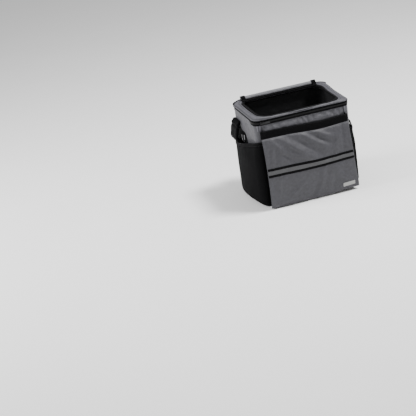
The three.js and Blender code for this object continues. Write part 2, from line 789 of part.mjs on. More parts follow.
for (const [hand, sign] of Object.entries(hands)) {
  piece(hand + "_mesh_pocket", meshSheet(sign), meshBlack);
  piece(hand + "_pocket_hem", hemSheet(sign), webbingBlack);
  piece(hand + "_ring_tab", ribbon(tabLine(), tabThickness, tabWidth, sideAt(sign, ringPlace)), webbingBlack);
  piece(hand + "_d_ring", dRing(sign), steel);
  piece(hand + "_loop_patch", patchSheet(sign), webbingBlack);
  const root = onPatch + loopThickness / 2;
  const line = loopLine(loopTop, loopBottom, loopReach, loopFace, loopTail, root);
  piece(hand + "_carry_loop", ribbon(line, loopThickness, loopWidth, sideAt(sign, loopPlace)), webbingBlack);
}

// Back: two straps for the handlebar and one for the head tube, each with a plastic glide on its face
const strapRoot = seat + strapThickness / 2;
const backAt = (x) => (out, z, across) => new THREE.Vector3(x + across, halfDepth(z) + out, z);
const aroundTube = (out, x, across) => {
  const z = tubeStrapHeight + across;
  return new THREE.Vector3(x, halfDepth(z) + out, z);
};

function glide(strapWidth) {
  const halfAcross = strapWidth / 2 + glideRim;
  const slot = (side) => {
    const middle = new THREE.Vector2(0, side * (glideBar / 2 + glideSlot / 2));
    return roundedBox(strapWidth / 2, glideSlot / 2, glideSlot * slotRoundShare, middle);
  };
  const frame = roundedBox(halfAcross, glideBar / 2 + glideSlot + glideRim, glideRim);
  return plate(frame, [slot(-1), slot(1)], glideThickness);
}

for (const [hand, sign] of Object.entries(hands)) {
  const x = sign * barStrapPlace;
  const low = barStrapTop - barStrapDrop;
  const line = loopLine(barStrapTop, low, barStrapReach, barStrapFace, strapTail, strapRoot);
  piece("bar_strap_" + hand, ribbon(line, strapThickness, barStrapWidth, backAt(x)), webbingBlack);
  const buckle = piece("bar_glide_" + hand, glide(barStrapWidth), plasticBlack);
  const z = barStrapTop - barStrapDrop / 2;
  buckle.rotation.x = Math.PI / 2;
  buckle.position.set(x, halfDepth(z) + barStrapReach + strapThickness / 2 + 2 * seat + glideThickness, z);
}
const tubeLine = loopLine(tubeStrapHalf, -tubeStrapHalf, tubeStrapReach, tubeStrapFace, strapTail, strapRoot);
piece("tube_strap", ribbon(tubeLine, strapThickness, tubeStrapWidth, aroundTube), webbingBlack);
const tubeGlide = piece("tube_glide", glide(tubeStrapWidth), plasticBlack);
tubeGlide.rotateOnAxis(new THREE.Vector3(1, 1, 1).normalize(), (-2 * Math.PI) / 3);
const tubeGlideOut = tubeStrapReach + strapThickness / 2 + 2 * seat;
tubeGlide.position.set(0, halfDepth(tubeStrapHeight + tubeStrapWidth / 2) + tubeGlideOut, tubeStrapHeight);

// Hinge tape sewn to the top of the back wall, which turns out to the lid's rear edge
const hingeHalf = halfWidth(wallHeight) - rearRadius;
const hingeShares = [[0, 0], [0, 0.8], [0.4, 0.93], [1, 1]];
const hingeStart = seat + tapeThickness / 2;
const hingeLine = hingeShares.map(([u, v]) => {
  const out = THREE.MathUtils.lerp(hingeStart, lidOverhang - tapeThickness, u);
  return new THREE.Vector2(out, wallHeight - hingeTape * (1 - v));
});
piece("hinge_tape", ribbon(hingeLine, tapeThickness, 2 * hingeHalf, backAt(0)), webbingBlack);

// Window cover: a strip of cloth wound up behind the opening, held by two ties
const rollHalf = openingHalf - rollInset;
const rollRadius = rollCore + rollTurns * rollPitch;
const tieRadius = rollRadius + rollCloth / 2 + seat + tieThickness / 2;
const rollY = openingBack + rearBorder / 2 - rollCloth;
const rollZ = lidTop + seat + tieRadius + tieThickness / 2;
const alongX = (y, z, across) => new THREE.Vector3(across, y, z);

const spiral = spread(0, rollTurns, Math.round(rollTurns * rollSteps)).map((turns) => {
  const turn = 2 * Math.PI * turns + Math.PI / 2;
  const radius = rollCore + rollPitch * turns;
  return new THREE.Vector2(rollY + radius * Math.cos(turn), rollZ + radius * Math.sin(turn));
});
piece("window_roll", ribbon(spiral, rollCloth, 2 * rollHalf, alongX), grayCloth, lidGroup);
const tieCircle = spread(0, 2 * Math.PI, rollSteps)
  .slice(1)
  .map((turn) => new THREE.Vector2(rollY + tieRadius * Math.cos(turn), rollZ + tieRadius * Math.sin(turn)));
for (const [hand, sign] of Object.entries(hands)) {
  const x = sign * (rollHalf - tieWidth / 2);
  const tie = ribbon(tieCircle, tieThickness, tieWidth, (y, z, across) => alongX(y, z, x + across), true);
  piece("roll_tie_" + hand, tie, webbingBlack, lidGroup);
}

export default basket;
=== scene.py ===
# Looks of a soft-sided pet basket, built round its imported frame. Lengths are in millimetres until placed.
import math

import bpy
from mathutils import Matrix, Vector, noise


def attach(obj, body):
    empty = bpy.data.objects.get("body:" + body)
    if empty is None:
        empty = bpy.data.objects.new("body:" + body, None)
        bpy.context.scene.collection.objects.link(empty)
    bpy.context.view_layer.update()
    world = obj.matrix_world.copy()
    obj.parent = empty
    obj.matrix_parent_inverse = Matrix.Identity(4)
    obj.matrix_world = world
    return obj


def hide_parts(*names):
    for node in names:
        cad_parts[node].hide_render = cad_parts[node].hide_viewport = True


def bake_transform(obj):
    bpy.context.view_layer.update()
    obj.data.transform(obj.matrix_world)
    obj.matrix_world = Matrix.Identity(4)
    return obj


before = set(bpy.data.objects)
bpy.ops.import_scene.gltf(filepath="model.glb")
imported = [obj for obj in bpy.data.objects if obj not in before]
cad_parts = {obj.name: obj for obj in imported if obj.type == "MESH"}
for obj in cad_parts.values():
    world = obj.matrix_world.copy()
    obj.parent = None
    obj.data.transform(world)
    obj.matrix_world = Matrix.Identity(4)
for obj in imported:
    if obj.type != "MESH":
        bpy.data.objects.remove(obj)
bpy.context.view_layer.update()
MM = 0.001
TAU = 2 * math.pi
HANDS = ((-1, "left"), (1, "right"))

# Sizes shared with the solids
LID_W, LID_D, WALL_H = 190.0, 138.0, 334.0
OVERHANG, SIDE_TAPER, END_TAPER = 4.0, 4.0, 3.0
FRONT_R, REAR_R = 22.0, 32.0
OPEN_X, OPEN_FRONT, OPEN_BACK, OPEN_R = 157.0, -120.0, 116.0, 46.0
POCKET_TOP, BAND_LOW, FACE_TOP = 300.0, 270.0, 269.7
HEM_FRONT, HEM_REAR, HEM_H = 258.0, 198.0, 14.0
RING_OUT, RING_Z, RING_Y, LOOP_Y = 5.5, 250.0, 22.0, 77.0
BAR_STRAP_X, TUBE_STRAP_Z = 82.0, 112.0

# Camera fitted to the photograph, with its place in metres
LENS, SENSOR, FAR_CLIP = 121.15, 36.0, 50.0
EYE = Vector((-1.52745, -4.81201, 1.92751))
EYE_RIGHT = Vector((0.94738, -0.28519, -0.14537))
EYE_DOWN = Vector((-0.23515, -0.31189, -0.92056))
EYE_AHEAD = Vector((0.21720, 0.90631, -0.36254))


def lerp(a, b, t):
    return a + (b - a) * t


def clamp(t, low=0.0, high=1.0):
    return max(low, min(high, t))


def smooth(t):
    t = clamp(t)
    return t * t * (3 - 2 * t)


def bell(distance, width):
    """1 at no distance, falling off softly over the width."""
    return math.exp(-((distance / width) ** 2))


def spread(a, b, steps):
    return [lerp(a, b, i / steps) for i in range(steps + 1)]


def wobble(x, y, z, size):
    """Soft noise between -1 and 1 whose features are about size millimetres across."""
    return noise.noise(Vector((x / size, y / size, z / size)))


def add_camera():
    camera = bpy.data.cameras.new("camera")
    camera.lens, camera.sensor_width, camera.clip_end = LENS, SENSOR, FAR_CLIP
    turn = Matrix((EYE_RIGHT, -EYE_DOWN, -EYE_AHEAD)).transposed().to_4x4()
    holder = bpy.data.objects.new("camera", camera)
    holder.matrix_world = Matrix.Translation(EYE) @ turn
    bpy.context.collection.objects.link(holder)
    bpy.context.scene.camera = holder


add_camera()


# Materials: every cloth is woven by its own UV map, which is laid out in metres
class Nodes:
    def __init__(self, name):
        self.material = bpy.data.materials.new(name)
        self.material.use_nodes = True
        self.tree = self.material.node_tree
        self.shader = self.tree.nodes["Principled BSDF"]

    def add(self, kind, **settings):
        node = self.tree.nodes.new(kind)
        for key, value in settings.items():
            setattr(node, key, value)
        return node

    def link(self, a, b):
        self.tree.links.new(a, b)

    def math(self, operation, *values):
        node = self.add("ShaderNodeMath", operation=operation)
        for socket, value in zip(node.inputs, values):
            if isinstance(value, (int, float)):
                socket.default_value = value
            else:
                self.link(value, socket)
        return node.outputs[0]

    def plus(self, a, b):
        return self.math("ADD", a, b)

    def minus(self, a, b):
        return self.math("SUBTRACT", a, b)

    def times(self, a, b):
        return self.math("MULTIPLY", a, b)

    def gap(self, a, b):
        return self.math("ABSOLUTE", self.minus(a, b))

    def uv(self):
        parts = self.add("ShaderNodeSeparateXYZ")
        self.link(self.add("ShaderNodeUVMap", uv_map="cloth").outputs[0], parts.inputs[0])
        return parts.outputs[0], parts.outputs[1]

    def noise(self, scale, detail=3.0):
        node = self.add("ShaderNodeTexNoise")
        node.inputs["Scale"].default_value = scale
        node.inputs["Detail"].default_value = detail
        self.link(self.add("ShaderNodeTexCoord").outputs["Object"], node.inputs["Vector"])
        return node.outputs["Fac"]

    def mix(self, factor, a, b):
        node = self.add("ShaderNodeMix", data_type="RGBA")
        self.link(factor, node.inputs["Factor"])
        for socket, value in ((node.inputs["A"], a), (node.inputs["B"], b)):
            if isinstance(value, tuple):
                socket.default_value = value
            else:
                self.link(value, socket)
        return node.outputs["Result"]

    def bump(self, height, strength, distance, under=None):
        node = self.add("ShaderNodeBump")
        node.inputs["Strength"].default_value = strength
        node.inputs["Distance"].default_value = distance
        self.link(height, node.inputs["Height"])
        if under:
            self.link(under, node.inputs["Normal"])
        return node.outputs[0]


def tint(color, factor):
    return tuple(min(1.0, c * factor) for c in color)


def shade(color, factor):
    return tint(color, factor) + (1.0,)


# Noise scales of the cloths, and how much each layer of the pattern adds to the tone
PATCH_SCALE, SLUB_SCALE, FINE_SCALE, CRUMPLE_SCALE = 26.0, 105.0, 620.0, 38.0
TONE_BASE, PATCH_TONE, FINE_TONE, THREAD_TONE = 0.15, 0.35, 0.25, 0.10
MOTTLE_REACH = 1.6
STITCH_PITCH, STITCH_SHARE, STITCH_HEIGHT = 0.0042, 0.66, 0.0003
WEAVE_BUMP, RIB_BUMP, CRUMPLE_BUMP, STITCH_BUMP = 0.8, 0.9, 0.8, 0.7
# How dark the painted shade makes rib troughs and the grooves beside stitch lines
RIB_SHADE, SEAM_SHADE = 0.45, 0.3
SHEEN_ROUGH, GLOSS_SPREAD = 0.45, 0.12


def wave(n, coordinate, period):
    return n.math("SINE", n.times(coordinate, TAU / period))


def cloth_tone(n, threads, patch, cloud):
    slub = n.times(n.minus(n.noise(SLUB_SCALE, 3.0), 0.5), cloud)
    tone = n.plus(n.times(patch, PATCH_TONE), n.plus(slub, TONE_BASE))
    tone = n.plus(tone, n.times(n.noise(FINE_SCALE, 2.0), FINE_TONE))
    return n.plus(tone, n.times(threads, THREAD_TONE))


def seam_shadow(n, v, lines, reach):
    """Painted shade beside sewn lines: 1 on the lines, fading to 0 at the given distance from them."""
    shadow = 0.0
    for line in lines:
        shadow = n.math("MAXIMUM", shadow, n.minus(1.0, n.math("DIVIDE", n.gap(v, line), reach)))
    return shadow


def stitch_mask(n, u, v, lines, width):
    """1 on the stitches of seams that run along u, at the given distances from the cloth's edge."""
    dash = n.math("LESS_THAN", n.math("FRACT", n.math("DIVIDE", u, STITCH_PITCH)), STITCH_SHARE)
    near = [n.math("LESS_THAN", n.gap(v, line), width) for line in lines]
    total = near[0]
    for other in near[1:]:
        total = n.math("MAXIMUM", total, other)
    return n.times(total, dash)


def cloth(name, color, rough=0.8, weave=0.0011, depth=0.00012, mottle=0.10, cloud=0.3, sheen=0.0, spec=0.05,
          ribs=None, rib_depth=0.0005, crumple=0.0004, stitches=(), thread=(0.03, 0.03, 0.032),
          stitch_width=0.0005, groove_shade_reach=0.0):
    """A woven cloth. mottle and cloud vary its tone. Beside its stitch lines it is darkened with painted shade,
    out to the reach given by the last argument.
    """
    n = Nodes(name)
    u, v = n.uv()
    threads = n.times(wave(n, u, weave), wave(n, v, weave))
    patch = n.noise(PATCH_SCALE, 4.0)
    reach = mottle * MOTTLE_REACH
    base = n.mix(cloth_tone(n, threads, patch, cloud), shade(color, 1 - reach), shade(color, 1 + reach))
    normal = n.bump(n.times(threads, 0.5), WEAVE_BUMP, depth)
    if ribs:
        direction, period = ribs
        line = n.math("ABSOLUTE", wave(n, u if direction == "across" else v, 2 * period))
        normal = n.bump(line, RIB_BUMP, rib_depth, normal)
        # Painted shade in the troughs between the ribs
        deep = n.minus(1.0, n.math("POWER", line, 0.35))
        base = n.mix(n.times(deep, 0.8), base, shade(color, RIB_SHADE))
    if crumple:
        normal = n.bump(n.noise(CRUMPLE_SCALE, 5.0), CRUMPLE_BUMP, crumple * 4, normal)
    # Painted shade in the sewn grooves beside the stitch lines
    if groove_shade_reach:
        shadow = n.times(seam_shadow(n, v, stitches, groove_shade_reach), 0.75)
        base = n.mix(shadow, base, shade(color, SEAM_SHADE))
    if stitches:
        mask = stitch_mask(n, u, v, stitches, stitch_width)
        base = n.mix(mask, base, thread + (1.0,))
        normal = n.bump(mask, STITCH_BUMP, STITCH_HEIGHT, normal)
    n.link(base, n.shader.inputs["Base Color"])
    n.link(normal, n.shader.inputs["Normal"])
    n.link(n.plus(rough - GLOSS_SPREAD / 2, n.times(patch, GLOSS_SPREAD)), n.shader.inputs["Roughness"])
    n.shader.inputs["Specular IOR Level"].default_value = spec
    n.shader.inputs["Sheen Weight"].default_value = sheen
    n.shader.inputs["Sheen Roughness"].default_value = SHEEN_ROUGH
    return n.material


def hard(name, color, rough, metallic=0.0, grain=0.0001, scale=900.0, spec=0.5):
    """A plastic or metal with uneven tone and gloss and a fine grain."""
    n = Nodes(name)
    n.link(n.mix(n.noise(40.0), shade(color, 0.88), shade(color, 1.12)), n.shader.inputs["Base Color"])
    n.link(n.plus(rough - 0.05, n.times(n.noise(150.0), GLOSS_SPREAD)), n.shader.inputs["Roughness"])
    n.link(n.bump(n.noise(scale, 2.0), 0.5, grain), n.shader.inputs["Normal"])
    n.shader.inputs["Metallic"].default_value = metallic
    n.shader.inputs["Specular IOR Level"].default_value = spec
    return n.material


GRAY = (0.0475, 0.0468, 0.0545)
BLACK = (0.0032, 0.0032, 0.0036)
POLYESTER = {"rough": 0.58, "sheen": 0.05, "spec": 0.45, "crumple": 0.0012}
DARK_SEAM = {"thread": (0.004, 0.004, 0.005), "stitch_width": 0.0010}

gray_cloth = cloth("gray_cloth", GRAY, mottle=0.32, cloud=1.0, **POLYESTER)
gray_pocket = cloth("gray_pocket", tint(GRAY, 0.86), mottle=0.28, cloud=0.7, stitches=(0.004, 0.2655),
                    thread=(0.10, 0.10, 0.11), **POLYESTER)
gray_lid = cloth("gray_lid", tint(GRAY, 1.3), rough=0.6, mottle=0.3, cloud=1.4, sheen=0.03, spec=0.4,
                 crumple=0.0009, stitches=(0.0212, 0.0357), groove_shade_reach=0.0040, **DARK_SEAM)
gray_tape = cloth("gray_tape", tint(GRAY, 2.0), rough=0.6, mottle=0.2, spec=0.4, stitches=(0.0006, 0.0108),
                  groove_shade_reach=0.0030, **DARK_SEAM)
# The rolled cover is the gray cloth, made much lighter here as painted light and highlights on the roll
roll_cloth = cloth("roll_cloth", (0.13, 0.13, 0.14), rough=0.62, mottle=0.2, sheen=0.05, spec=0.25,
                   crumple=0.0018)
black_cloth = cloth("black_cloth", BLACK, rough=0.75)
lining_cloth = cloth("lining_cloth", (0.013, 0.013, 0.014), rough=0.6, spec=0.2, crumple=0.0012)
pile_cloth = cloth("pile_cloth", (0.016, 0.016, 0.018), rough=0.95, weave=0.002, depth=0.0004, sheen=0.3)
band_webbing = cloth("band_webbing", BLACK, rough=0.72, weave=0.0016, depth=0.0003, ribs=("along", 0.0014),
                     rib_depth=0.0002, crumple=0.0002, stitches=(0.0025, 0.0275), thread=(0.02, 0.02, 0.022))
webbing = cloth("webbing", BLACK, rough=0.7, weave=0.0016, depth=0.0004, ribs=("across", 0.0018),
                rib_depth=0.0003, crumple=0.0001)
tape_cloth = cloth("tape_cloth", BLACK, rough=0.7, weave=0.0010, ribs=("along", 0.0010), rib_depth=0.00015,
                   crumple=0.0)
piping_cloth = cloth("piping_cloth", BLACK, rough=0.6, weave=0.0012, ribs=("across", 0.0016), crumple=0.0)
binding_cloth = cloth("binding_cloth", BLACK, rough=0.65, weave=0.0012, crumple=0.0002, stitches=(0.0060,),
                      thread=(0.03, 0.03, 0.03))
mesh_cloth = cloth("mesh_cloth", (0.0042, 0.0042, 0.0047), rough=0.8, weave=0.0022, depth=0.0006,
                   ribs=("across", 0.0042), rib_depth=0.0008, crumple=0.0002)
hem_cloth = cloth("hem_cloth", BLACK, rough=0.8, weave=0.0012, ribs=("across", 0.0030), rib_depth=0.0006,
                  crumple=0.0002, stitches=(0.003, 0.011))
reflector_cloth = cloth("reflector_cloth", (0.044, 0.044, 0.047), rough=0.45, weave=0.0009, depth=0.00006,
                        mottle=0.05, spec=0.55, crumple=0.0001)
label_cloth = cloth("label_cloth", (0.36, 0.36, 0.352), rough=0.55, weave=0.0006, depth=0.00005, mottle=0.03,
                    crumple=0.0, stitches=(0.0016, 0.0154), thread=(0.30, 0.30, 0.30))
zip_plastic = hard("zip_plastic", (0.006, 0.006, 0.0065), 0.5, spec=0.15)
gloss_plastic = hard("gloss_plastic", (0.012, 0.012, 0.013), 0.28)
board_plastic = hard("board_plastic", (0.03, 0.03, 0.03), 0.6)
black_metal = hard("black_metal", (0.02, 0.02, 0.021), 0.32, metallic=0.7)
steel = hard("steel", (0.38, 0.38, 0.39), 0.28, metallic=1.0, grain=0.00003)


# Meshes
SMALLEST_SHEET = 0.01


def finish_piece(piece, body, replaced, material):
    piece.data.materials.append(material)
    for polygon in piece.data.polygons:
        polygon.use_smooth = True
    if body:
        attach(piece, body)
    if replaced:
        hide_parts(*replaced)
    return piece


def object_of(name, points, faces, marks):
    """An object whose marks give the place on the cloth of each face's corners."""
    mesh = bpy.data.meshes.new(name)
    mesh.from_pydata([Vector(p) * MM for p in points], [], faces)
    layer = mesh.uv_layers.new(name="cloth")
    for polygon in mesh.polygons:
        for corner, (u, v) in zip(polygon.loop_indices, marks[polygon.index]):
            layer.data[corner].uv = (u * MM, v * MM)
    piece = bpy.data.objects.new(name, mesh)
    bpy.context.collection.objects.link(piece)
    return piece


def lengths(points):
    total = [0.0]
    for a, b in zip(points, points[1:]):
        total.append(total[-1] + (Vector(b) - Vector(a)).length)
    return total


def grid_piece(name, rows, thick=0.0, levels=1, around=False, across=None, tube=False):
    """A sheet from rows of points. around closes each row, and tube joins the last row to the first.

    u runs along a row and v from row to row. across gives v where it isn't measured down the middle.
    """
    count, width = len(rows), len(rows[0])
    points = [p for row in rows for p in row]
    middle_row, middle = rows[count // 2], width // 2
    u = lengths(middle_row + ([middle_row[0]] if around else []))
    v = across or lengths([row[middle] for row in rows] + ([rows[0][middle]] if tube else []))
    faces, marks = [], []
    for i in range(count if tube else count - 1):
        for j in range(width if around else width - 1):
            k, m = (j + 1) % width, (i + 1) % count
            faces.append((i * width + j, i * width + k, m * width + k, m * width + j))
            marks.append(((u[j], v[i]), (u[j + 1], v[i]), (u[j + 1], v[i + 1]), (u[j], v[i + 1])))
    piece = object_of(name, points, faces, marks)
    if thick:
        solid = piece.modifiers.new("thickness", "SOLIDIFY")
        solid.thickness, solid.offset = thick * MM, 0.0
    if levels:
        soft = piece.modifiers.new("soft", "SUBSURF")
        soft.levels = soft.render_levels = levels
    return piece


def declare(piece, width):
    """Works out how long the sheet is for the given width, and returns early for a tape under 10 mm; nothing is
    declared.
    """
    area = sum(p.area for p in piece.data.polygons)
    if area / width < SMALLEST_SHEET:
        return


# Plan outline of the basket, as in the solids
ARC_STEPS, SIDE_STEPS = 8, (12, 18, 12, 18)


def half_w(z):
    return LID_W - OVERHANG - SIDE_TAPER * (1 - z / WALL_H)


def half_d(z):
    return LID_D - OVERHANG - END_TAPER * (1 - z / WALL_H)


def side_point(hand, run, z, out):
    """A point of a side wall: run 0 to 1 is the front corner, to 2 the side, to 3 the rear corner."""
    w, d = half_w(z), half_d(z)
    if run < 1:
        turn = run * math.pi / 2
        x = w - FRONT_R + (FRONT_R + out) * math.sin(turn)
        y = FRONT_R - d - (FRONT_R + out) * math.cos(turn)
    elif run > 2:
        turn = (run - 2) * math.pi / 2
        x = w - REAR_R + (REAR_R + out) * math.cos(turn)
        y = d - REAR_R + (REAR_R + out) * math.sin(turn)
    else:
        x, y = w + out, lerp(FRONT_R - d, d - REAR_R, run - 1)
    return (hand * x, y, z)


def plan_ring(w, d, front, rear, z, centre=0.0):
    """A closed outline with front and rear corners of the given radii, from the front right corner on."""
    corners = ((1, -1, front, -1), (1, 1, rear, 0), (-1, 1, rear, 1), (-1, -1, front, 2))
    arcs = []
    for i, j, radius, quarter in corners:
        turns = [(quarter + s / ARC_STEPS) * math.pi / 2 for s in range(ARC_STEPS + 1)]
        arcs.append([Vector((i * (w - radius) + radius * math.cos(turn),
                             centre + j * (d - radius) + radius * math.sin(turn), z)) for turn in turns])
    ring = []
    for k, (arc, steps) in enumerate(zip(arcs, SIDE_STEPS)):
        after = arcs[(k + 1) % 4][0]
        ring += arc + [arc[-1].lerp(after, m / steps) for m in range(1, steps)]
    return ring


def joined(left, right, steps=40):
    """Two lines of points with a straight run between them."""
    return left + [tuple(Vector(left[-1]).lerp(Vector(right[0]), s)) for s in spread(0, 1, steps)[1:-1]] + right


# Walls, from the foot to the seam under the zip and on to the rim
FOOT_Z, SEAM_Z = 2.0, 322.0
RIM_ROWS = [SEAM_Z, 328.0, 333.0]
WALL_THICK, WALL_WIDTH = 1.4, 0.33


def wall_puff(s, z):
    """How far a wall swells between its seams and its rims."""
    return 1.6 * math.sin(math.pi * clamp(s)) ** 0.7 * math.sin(math.pi * clamp((z - 4) / 322)) ** 0.6


def side_wall(hand, side):
    rows = []
    for z in [FOOT_Z] + spread(6, 318, 40) + RIM_ROWS:
        row = []
        for run in spread(0, 1, 8) + spread(1, 2, 14)[1:] + spread(2, 3, 8)[1:]:
            out = -0.2 + 0.55 * wobble(run * 60, z, hand * 9, 34) * smooth((SEAM_Z - z) / 20)
            if 1 < run < 2:
                out += wall_puff(run - 1, z) * smooth((z - 250) / 30)
            folds = 0.5 * math.sin(run * 31 + z * 0.02) + 0.5 * math.sin(run * 17 + 1.3)
            out += 0.9 * folds * smooth((z - 286) / 20) * smooth((SEAM_Z - z) / 10)
            row.append(side_point(hand, run, z, out))
        rows.append(row)
    return grid_piece(side + "_wall", rows, thick=WALL_THICK)


def end_edge(s):
    """1 inside an end wall, fading to 0 at its corner seams."""
    return smooth((1 - abs(s)) / 0.06)


def front_form(s, z):
    """The front wall is gathered under the zip, more so to the right, and stands out to the pocket's mouth."""
    lean = (z - 308) * 0.05 * math.sin(s * 11 + 2)
    gathers = math.sin(s * 37 + lean + 2.4 * math.sin(s * 6.3)) * (0.6 + 0.4 * math.sin(s * 9 + 1))
    share = smooth((z - 296) / 8) * smooth((321 - z) / 8) * end_edge(s)
    share *= 0.45 + 0.55 * smooth((s + 0.5) / 0.6)
    stand = 8.0 * smooth((1 - abs(s)) / 0.12) * smooth((319 - z) / 20) * smooth((z - 262) / 30)
    return share * (3.6 * gathers + 1.6 * wobble(s * 150, 50, z, 11)) + stand


def back_form(s, z):
    waves = 0.7 * wobble(s * 150, z, 70, 62) * smooth((300 - z) / 40)
    return wall_puff((s + 1) / 2, z) * 0.2 + waves * end_edge(s)


def end_wall(end, side, radius, form):
    rows = []
    for z in [FOOT_Z] + spread(6, 294, 30) + spread(297, 318, 8) + RIM_ROWS:
        half = half_w(z) - radius
        row = []
        for s in spread(-1, 1, 72):
            out = -0.6 + 0.4 * end_edge(s)
            out += 0.5 * wobble(s * 150, z, end * 20, 30) * smooth((SEAM_Z - z) / 20) + form(s, z)
            row.append((s * half, end * (half_d(z) + out), z))
        rows.append(row)
    return grid_piece(side + "_wall", rows, thick=WALL_THICK)


walls = [(side, side_wall(hand, side)) for hand, side in HANDS]
walls.append(("front", end_wall(-1, "front", FRONT_R, front_form)))
walls.append(("back", end_wall(1, "back", REAR_R, back_form)))
for side, wall in walls:
    finish_piece(wall, "basket", [side + "_panel"], gray_cloth)
    declare(wall, WALL_WIDTH)


LINING_IN = 6.0


def lining_wall():
    rows = []
    for z in spread(6, 333, 30):
        ring = plan_ring(half_w(z) - LINING_IN, half_d(z) - LINING_IN,
                         FRONT_R - LINING_IN, REAR_R - LINING_IN, z)
        rows.append([(p.x * (1 - 0.004 * (wobble(p.x, p.y, z, 40) + 0.6)),
                      p.y * (1 - 0.004 * (wobble(p.x, p.y, z + 300, 40) + 0.6)), z) for p in ring])
    return grid_piece("inner_lining", rows, thick=0.8, around=True)


lining = finish_piece(lining_wall(), "basket",
                      ["left_lining", "right_lining", "front_lining", "back_lining"], lining_cloth)
declare(lining, 1.2)


def bottom_cloth():
    ring = plan_ring(half_w(0), half_d(0), FRONT_R, REAR_R, 0.0)
    rows = [[(p.x * share, p.y * share, rise) for p in ring]
            for share, rise in ((0.02, 0.7), (0.25, 0.7), (0.5, 0.7), (0.75, 0.7), (0.93, 0.7), (1.0, 1.3))]
    return grid_piece("bottom_cloth", rows, thick=1.2, around=True)


bottom = finish_piece(bottom_cloth(), "basket", ["bottom_panel"], black_cloth)
declare(bottom, 0.364)


# Base cushion: a filled pad with two sewn channels across it
CUSHION_LOW, CUSHION_THICK, CUSHION_RISE = 6.1, 22.0, 13.0
CUSHION_R, CUSHION_GAP = 24.0, 10.5


def cushion():
    w, d = half_w(CUSHION_LOW) - CUSHION_GAP, half_d(CUSHION_LOW) - CUSHION_GAP
    middle = CUSHION_LOW + CUSHION_THICK / 2
    rows = []
    for t in spread(-1, 1, 48):
        x = w * math.sin(t * math.pi / 2)
        corner = max(0.0, abs(x) - (w - CUSHION_R))
        reach = d - CUSHION_R + math.sqrt(max(0.0, CUSHION_R ** 2 - corner ** 2))
        above, below = [], []
        for q in spread(-1, 1, 36):
            y = reach * math.sin(q * math.pi / 2)
            border = clamp(min(reach - abs(y), w - abs(x)) / 12)
            full = math.sqrt(1 - (1 - border) ** 2)
            crown = 5.0 * (1 - (x / w) ** 2) * (1 - (y / d) ** 2)
            channel = 5.0 * bell(abs(y) - d / 3, 6.0)
            lumps = wobble(x, y, 5, 34) + 0.5 * wobble(x, y, 50, 14)
            above.append((x, y, middle + full * (CUSHION_RISE + crown - channel + lumps)))
            below.append((x, y, CUSHION_LOW + CUSHION_THICK / 2 * (1 - full)))
        rows.append(above + below[-2:0:-1])
    return grid_piece("seat_cushion", rows, around=True)


seat_cushion = finish_piece(cushion(), "basket", ["base_cushion"], pile_cloth)


# Lid: a padded ring round the window, drawn in by two lines of stitches beside its binding.
# Each row of its profile lies a distance in from the lid's edge, a share of the way across, or a
# distance out from the window.
PAD_START, PAD_STOP = 5.6, 19.7
LID_PROFILE = (
    ("edge", 5.2, 336.4), ("edge", 5.6, 339.2), ("edge", 1.6, 340.6), ("edge", 0.1, 341.4),
    ("edge", 0.0, 343.6), ("edge", 0.7, 346.0), ("edge", 2.0, 347.7), ("edge", 3.0, 346.9),
    ("edge", 3.9, 348.9), ("edge", PAD_START, 349.9),
    ("share", 0.25, 350.9), ("share", 0.5, 351.3), ("share", 0.75, 350.9),
    ("window", PAD_STOP, 350.5), ("window", 18.8, 348.7), ("window", 17.9, 350.4), ("window", 14.5, 350.3),
    ("window", 11.5, 349.4), ("window", 9.0, 346.6), ("window", 3.4, 345.0), ("window", 3.6, 336.4),
)
SEAM_ROW, SEAM_FROM_WINDOW, SEAM_COLUMN, CLOSING = 18, 9.0, 60, 30.0


def lid_outer(inset, z):
    return plan_ring(LID_W - inset, LID_D - inset, FRONT_R + OVERHANG - inset, REAR_R + OVERHANG - inset, z)


def lid_inner(outset, z):
    middle, half = (OPEN_FRONT + OPEN_BACK) / 2, (OPEN_BACK - OPEN_FRONT) / 2
    radius = OPEN_R - outset
    return plan_ring(OPEN_X - outset, half - outset, radius, radius, z, centre=middle)


def lid_dip(x, y):
    """How far the lid's soft rim is pressed down along the front, at the right and at the rear left corner."""
    front = 4.5 * smooth((-70 - y) / 50) * smooth((x + 170) / 50)
    right = 7.0 * smooth((x - 135) / 30) * smooth((75 - y) / 60)
    corner = 4.0 * smooth((-150 - x) / 24) * smooth((y - 70) / 40)
    return max(front, right, corner)


def profile_share(kind, value, width):
    if kind == "edge":
        return value / width
    if kind == "window":
        return 1 - value / width
    start, stop = PAD_START / width, 1 - PAD_STOP / width
    return lerp(start, max(stop, start), value)


def lid_pad():
    pairs = list(zip(lid_outer(0, 0), lid_inner(0, 0)))
    rows = []
    for kind, value, z in LID_PROFILE:
        row = []
        for a, b in pairs:
            p = a.lerp(b, profile_share(kind, value, (b - a).length))
            lift = 0.7 * wobble(p.x, p.y, 0, 42) + 0.35 * wobble(p.x, p.y, 90, 17) if z > 348 else 0.0
            row.append((p.x, p.y, z + lift - lid_dip(p.x, p.y) * clamp((z - 338) / 12)))
        rows.append(row)
    far = lengths([row[SEAM_COLUMN] for row in rows])
    zero = far[SEAM_ROW] + SEAM_FROM_WINDOW
    across = [zero - value for value in far] + [zero - far[-1] - CLOSING]
    return grid_piece("lid_pad", rows, around=True, tube=True, across=across)


pad = finish_piece(lid_pad(), "lid", ["lid_cover", "lid_foam"], gray_lid)


UNDERSIDE_Z = 334.95


def lid_underside():
    pairs = list(zip(lid_outer(4.3, UNDERSIDE_Z), lid_inner(-4.8, UNDERSIDE_Z)))
    rows = [[tuple(a.lerp(b, s)) for a, b in pairs] for s in (0.0, 0.12, 0.5, 0.88, 1.0)]
    return grid_piece("lid_underside", rows, thick=0.8, around=True)


underside = finish_piece(lid_underside(), "lid", ["lid_lining"], lining_cloth)
declare(underside, 0.371)


